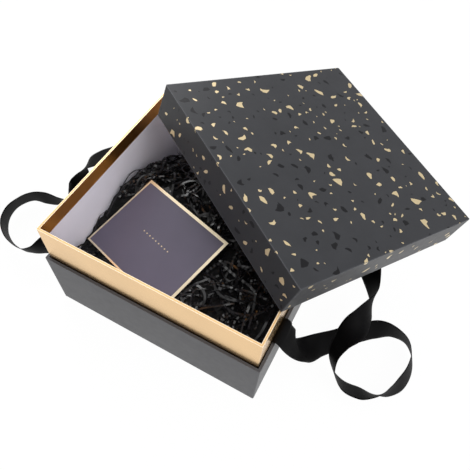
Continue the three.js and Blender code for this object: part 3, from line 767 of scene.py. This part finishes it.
def lay_fleck(outline, half, depth, vertices, faces):
    """Cuts a chip at the folds of the unfolded sheet, and lays each part on its own panel."""
    turned = outline
    for wall in range(LID_WALLS):
        turn = Matrix.Rotation(wall * math.pi / 2, 3, "Z")
        part = window(turned, half + FOLD_MARGIN, half + depth - EDGE_MARGIN, half - EDGE_MARGIN)
        lay_part(part, lambda x, y, out: turn @ Vector((half + out, y, half - x)), vertices, faces)
        turned = [(y, -x) for x, y in turned]
    inner = half - FOLD_MARGIN
    part = window(outline, -inner, inner, inner)
    lay_part(part, lambda x, y, out: Vector((x, y, out)), vertices, faces)


FLECK_SEED = 20
FLECK_SPACE = 1.5 * MM
FLECK_KINDS = [  # kind, smallest and largest size in millimetres, and how many
    ("gold", 8.0, 11.0, 30),
    ("gold", 4.5, 7.6, 112),
    ("gold", 1.8, 4.0, 140),
    ("gloss", 6.0, 10.0, 84),
    ("gloss", 2.5, 5.5, 100),
]


def add_flecks():
    """Chips at random places on the unfolded sheet, none of them touching another."""
    place, half, depth = lid_frame()
    rng = random.Random(FLECK_SEED)
    chips = {"gold": ([], []), "gloss": ([], [])}
    taken = []
    for kind, smallest, largest, count in FLECK_KINDS:
        placed = 0
        while placed < count:
            size = rng.uniform(smallest, largest) * MM
            x = rng.uniform(-half - depth, half + depth)
            y = rng.uniform(-half - depth, half + depth)
            if abs(x) > half and abs(y) > half:
                continue
            if any(math.hypot(x - u, y - v) < (size + other) / 2 + FLECK_SPACE for u, v, other in taken):
                continue
            taken.append((x, y, size))
            outline = [(x + u, y + v) for u, v in fleck_outline(rng, size)]
            lay_fleck(outline, half, depth, *chips[kind])
            placed += 1
    for kind, material in (("gold", fleck_gold), ("gloss", fleck_black)):
        vertices, faces = chips[kind]
        piece = mesh_object(f"lid_{kind}_flecks", [place @ v for v in vertices], faces, material)
        flip_outward(piece)
        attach(piece, "lid")


add_flecks()


# The card, as its solid lies: its middle, axes, half sides and half thickness. Its top and its
# underside are four triangles together.
BROAD_FACES = 4
card_mesh = nodes["card"].data
card_middle = sum((v.co for v in card_mesh.vertices), Vector()) / len(card_mesh.vertices)
card_faces = sorted(card_mesh.polygons, key=lambda face: -face.area)
card_up = max(card_faces[:BROAD_FACES], key=lambda face: face.normal.z).normal.copy()
card_side = max(card_faces[BROAD_FACES:], key=lambda face: abs(face.normal.x)).normal.copy()
card_along = card_up.cross(card_side)
card_axes = (card_side, card_along)
card_half = [max(abs(axis.dot(v.co - card_middle)) for v in card_mesh.vertices) for axis in card_axes]
card_half_thickness = max(abs(card_up.dot(v.co - card_middle)) for v in card_mesh.vertices)


def card_level(x, y, below=0.0):
    """Height of the card's middle plane over a place, or of the plane so far below it."""
    fall = card_up.x * (x - card_middle.x) + card_up.y * (y - card_middle.y) + below
    return card_middle.z - fall / card_up.z


def outside_card(x, y):
    """How far a place lies outside the card, seen from above."""
    offset = Vector((x, y, card_level(x, y))) - card_middle
    past = [max(abs(axis.dot(offset)) - half, 0) for axis, half in zip(card_axes, card_half)]
    return math.hypot(*past)


DOT_COUNT = 9
DOT_SIDES = 10
DOT_RADIUS = 0.7 * MM
DOT_LINE_SHARE = 0.31
DOT_LIFT = 0.04 * MM
DOT_SINK = 0.02 * MM


def add_card_dots():
    """A plain dotted line in gold foil across the middle of the card."""
    vertices = []
    faces = []
    top = card_middle + card_up * card_half_thickness
    angles = [2 * math.pi * side / DOT_SIDES for side in range(DOT_SIDES)]
    spokes = [card_side * math.cos(angle) + card_along * math.sin(angle) for angle in angles]
    for dot in range(DOT_COUNT):
        share = 2 * dot / (DOT_COUNT - 1) - 1
        middle = top + card_side * (share * DOT_LINE_SHARE * card_half[0])
        round_dot = [middle + spoke * DOT_RADIUS for spoke in spokes]
        upper = [place + card_up * DOT_LIFT for place in round_dot]
        lower = [place - card_up * DOT_SINK for place in round_dot]
        add_prism(upper, lower, vertices, faces)
    piece = mesh_object("card_dots", vertices, faces, fleck_gold)
    flip_outward(piece)
    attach(piece, "card")


add_card_dots()


# Shredded paper: a rough heap, and crinkled strips lying over it
def tree_of(name):
    shape = bmesh.new()
    shape.from_mesh(nodes[name].data)
    tree = BVHTree.FromBMesh(shape)
    shape.free()
    return tree


HEAP_SHARE = 0.999
ABOVE_ALL = 1
heap_tree = tree_of("shreds")
heap_low, heap_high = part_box("shreds")
heap_half = (heap_high[0] - heap_low[0]) / 2 * HEAP_SHARE


def heap_height(x, y):
    """Height of the heap under a place."""
    hit = heap_tree.ray_cast(Vector((x, y, ABOVE_ALL)), Vector((0, 0, -1)))[0]
    return hit.z if hit else heap_low[2]


HEAP_SEED = 3
HEAP_CELLS = 52
HEAP_DEEPEST = 7.0 * MM
HEAP_SHALLOWEST = 2.6 * MM


def add_heap():
    """The heap below the strips: a rough block that fills the collar from side to side, darkened as
    painted shade.
    """
    rng = random.Random(HEAP_SEED)
    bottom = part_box("shred_bed")[0][2]
    across = HEAP_CELLS + 1
    places = [heap_half * (2 * step / HEAP_CELLS - 1) for step in range(across)]
    top = []
    for y in places:
        for x in places:
            top.append((x, y, heap_height(x, y) - rng.uniform(HEAP_SHALLOWEST, HEAP_DEEPEST)))
    vertices = top + [(x, y, bottom) for x, y, _ in top]
    below = len(top)
    faces = []
    for row in range(HEAP_CELLS):
        for column in range(HEAP_CELLS):
            a = row * across + column
            faces.append((a, a + 1, a + across + 1, a + across))
            faces.append((below + a + across, below + a + across + 1, below + a + 1, below + a))
    rim = list(range(HEAP_CELLS))
    rim += [k * across + HEAP_CELLS for k in range(HEAP_CELLS)]
    rim += [HEAP_CELLS * across + k for k in range(HEAP_CELLS, 0, -1)]
    rim += [k * across for k in range(HEAP_CELLS, 0, -1)]
    for a, b in zip(rim, rim[1:] + rim[:1]):
        faces.append((b, a, below + a, below + b))
    piece = mesh_object("shred_heap", vertices, faces, shaded_deep_shreds)
    flip_outward(piece)
    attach(piece, "box")
    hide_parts("shred_bed")


STRIP_SEED = 8
STRIP_COUNT = 430
STRIP_WIDTH = (1.5 * MM, 2.6 * MM)
STRIP_THICKNESS = 0.14 * MM
STRIP_CREASE = math.radians(25)
STRIP_STEPS = (12, 30)
PITCH_MM = (1.6, 2.6)
CREST_MM = (0.4, 1.1)
ARCH_MM = (0, 7)
LOWEST_MM = -1
LOOSE_HIGHEST_MM = 3.5
CURLED_HIGHEST_MM = 1
CURLED_SHARE = 0.06
CURLED_BEND = (0.26, 0.42)
CURLED_WANDER = 0.012
CURLED_ROLL = (1.1, 1.5)
CRINKLED_SHARE = 0.35
LOOSE_BEND = 0.05
LOOSE_WANDER = 0.03
LOOSE_ROLL = (-0.8, 0.8)
ROLL_STEP = (-0.045, 0.045)
LEAN = (-0.1, 0.1)
ARCHED_SHARE = 0.5
WALL_SHARE = 0.22
WALL_REACH = 30 * MM
WALL_TURN = 0.6
WALL_GAP = 1.2 * MM
MOST_COVERED = 1 / 3


def strip_places(rng, steps, is_curled, is_crinkled):
    """A strip's way over the heap, with its height over the ground, or None where it leaves the heap."""
    pitch = rng.uniform(*PITCH_MM) * MM
    crest = rng.uniform(*CREST_MM) * MM * is_crinkled
    bend = rng.choice((-1, 1)) * rng.uniform(*CURLED_BEND) if is_curled else rng.gauss(0, LOOSE_BEND)
    wander = CURLED_WANDER if is_curled else LOOSE_WANDER
    heading = rng.uniform(0, 2 * math.pi)
    x = rng.uniform(-heap_half, heap_half)
    y = rng.uniform(-heap_half, heap_half)
    if rng.random() < WALL_SHARE:
        x = rng.uniform(-heap_half, WALL_REACH - heap_half)
        heading = rng.gauss(math.pi / 2, WALL_TURN)
    lift = rng.uniform(LOWEST_MM, CURLED_HIGHEST_MM if is_curled else LOOSE_HIGHEST_MM) * MM
    arch = rng.uniform(*ARCH_MM) * MM * (rng.random() < ARCHED_SHARE)
    if x < WALL_REACH - heap_half:
        arch += rng.uniform(*ARCH_MM) * MM
    lean = rng.uniform(*LEAN)
    places = []
    for step in range(steps + 1):
        if max(abs(x), abs(y)) > heap_half - WALL_GAP:
            return None
        z = lift + arch * math.sin(math.pi * step / steps) + lean * pitch * (step - steps / 2)
        places.append((x, y, z + crest * (step % 2)))
        bend += rng.gauss(0, wander)
        heading += bend
        x += pitch * math.cos(heading)
        y += pitch * math.sin(heading)
    return places


GROUND_SINK = 1.3 * MM
GROUND_SMOOTHING = 4
CARD_SIDE_GAP = 2.0 * MM
CARD_UNDER_GAP = 1.5 * MM
CARD_CLIMB = 1.2
CARD_REACH = 8 * MM


def settle(places):
    """Lays a strip on the smoothed ground, and lower than the card where it comes near it."""
    ground = [heap_height(x, y) - GROUND_SINK for x, y, _ in places]
    course = []
    for k, (x, y, z) in enumerate(places):
        near = ground[max(0, k - GROUND_SMOOTHING):k + GROUND_SMOOTHING + 1]
        height = z + sum(near) / len(near)
        past = outside_card(x, y) - CARD_SIDE_GAP
        ceiling = card_level(x, y, card_half_thickness) - CARD_UNDER_GAP + CARD_CLIMB * max(past, 0)
        course.append(Vector((x, y, min(height, ceiling) if past < CARD_REACH else height)))
    return course


def strip_course(rng):
    """A strip's path and how it rolls, or None where it finds no room: loose, crinkled or curled."""
    kind = rng.random()
    is_curled = kind < CURLED_SHARE
    is_crinkled = kind > 1 - CRINKLED_SHARE
    steps = rng.randint(*STRIP_STEPS)
    places = strip_places(rng, steps, is_curled, is_crinkled)
    if not places:
        return None
    covered = sum(outside_card(x, y) < CARD_SIDE_GAP for x, y, _ in places)
    if covered > steps * MOST_COVERED:
        return None
    roll = rng.uniform(*CURLED_ROLL) if is_curled else rng.uniform(*LOOSE_ROLL)
    return settle(places), roll, rng.uniform(*ROLL_STEP) * (not is_curled)


def add_strip(rng, course, roll, roll_step, vertices, faces):
    """A flat strip of paper along a course, that rolls a little on its way."""
    width = rng.uniform(*STRIP_WIDTH)
    start = len(vertices)
    count = len(course)
    corners = ((-1, -1), (1, -1), (1, 1), (-1, 1))
    for k, place in enumerate(course):
        ahead = (course[min(k + 1, count - 1)] - course[max(k - 1, 0)]).normalized()
        level = ahead.cross(Vector((0, 0, 1))).normalized()
        room = min(1.0, max(0.0, outside_card(place.x, place.y) - CARD_SIDE_GAP) / CARD_REACH)
        across = Matrix.Rotation((roll + roll_step * k) * room, 3, ahead) @ level
        out = across.cross(ahead)
        for side, face in corners:
            vertices.append(place + across * (side * width / 2) + out * (face * STRIP_THICKNESS / 2))
    add_skin(start, count, len(corners), faces)


def add_strips():
    """Most strips lie loose, some of them crinkled, and a few curl on their edge."""
    rng = random.Random(STRIP_SEED)
    vertices = []
    faces = []
    placed = 0
    while placed < STRIP_COUNT:
        laid = strip_course(rng)
        if laid:
            add_strip(rng, *laid, vertices, faces)
            placed += 1
    piece = mesh_object("shred_strips", vertices, faces, black_shreds, smooth=True)
    flip_outward(piece)
    piece.data.set_sharp_from_angle(angle=STRIP_CREASE)
    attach(piece, "box")
    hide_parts("shreds")


add_heap()
add_strips()


# Floor and light
FLOOR_GREY = (0.45, 0.45, 0.45)
FLOOR_ROUGHNESS = 0.9
FLOOR_HALF = 3
FLOOR_DROP = 0.3 * MM
FLOOR_GLOW = 0.93
FLOOR_EMISSION = 1.045
WORLD_STRENGTH = 0.45
LAMPS = [  # name, place, size and power in watts
    ("softbox_back_left", (-0.9, 1.1, 1.0), (1.4, 1.0), 18),
    ("softbox_top", (0.0, 0.0, 1.7), (1.6, 1.6), 9),
    ("softbox_right", (1.2, -0.3, 1.2), (1.2, 1.2), 12),
    ("softbox_front", (0.6, -1.4, 0.6), (1.2, 0.9), 2),
]


def add_floor():
    """A white surface: it takes shadows, and glows where the camera or a reflection sees it."""
    floor = Material("floor", FLOOR_GREY, FLOOR_ROUGHNESS)
    glow = floor.node("ShaderNodeEmission", Color=WHITE, Strength=FLOOR_EMISSION)
    path = floor.node("ShaderNodeLightPath")
    seen = floor.calculate("MAXIMUM", path.outputs["Is Camera Ray"], path.outputs["Is Glossy Ray"])
    mix = floor.node("ShaderNodeMixShader")
    floor.link(floor.calculate("MULTIPLY", seen, FLOOR_GLOW), mix.inputs["Fac"])
    floor.link(floor.shader.outputs["BSDF"], mix.inputs[1])
    floor.link(glow.outputs["Emission"], mix.inputs[2])
    floor.link(mix.outputs["Shader"], floor.tree.nodes["Material Output"].inputs["Surface"])
    corners = ((-1, -1), (1, -1), (1, 1), (-1, 1))
    vertices = [(x * FLOOR_HALF, y * FLOOR_HALF, cad_low[2] - FLOOR_DROP) for x, y in corners]
    mesh_object("floor", vertices, [(0, 1, 2, 3)], floor.material)


def add_world():
    """Soft light from all sides, and full white behind the floor for the camera."""
    scene.world = bpy.data.worlds.new("studio")
    scene.world.use_nodes = True
    sky = NodeTree(scene.world.node_tree)
    background = sky.tree.nodes["Background"]
    background.inputs["Color"].default_value = WHITE
    path = sky.node("ShaderNodeLightPath")
    strength = sky.calculate("MAXIMUM", path.outputs["Is Camera Ray"], WORLD_STRENGTH)
    sky.link(strength, background.inputs["Strength"])


def add_lamp(name, place, size, power):
    """An area lamp that looks at the box."""
    data = bpy.data.lights.new(name, "AREA")
    data.shape = "RECTANGLE"
    data.size, data.size_y = size
    data.energy = power
    lamp = bpy.data.objects.new(name, data)
    lamp.location = place
    lamp.rotation_euler = (-Vector(place)).to_track_quat("-Z", "Y").to_euler()
    scene.collection.objects.link(lamp)


add_floor()
add_world()
for lamp in LAMPS:
    add_lamp(*lamp)
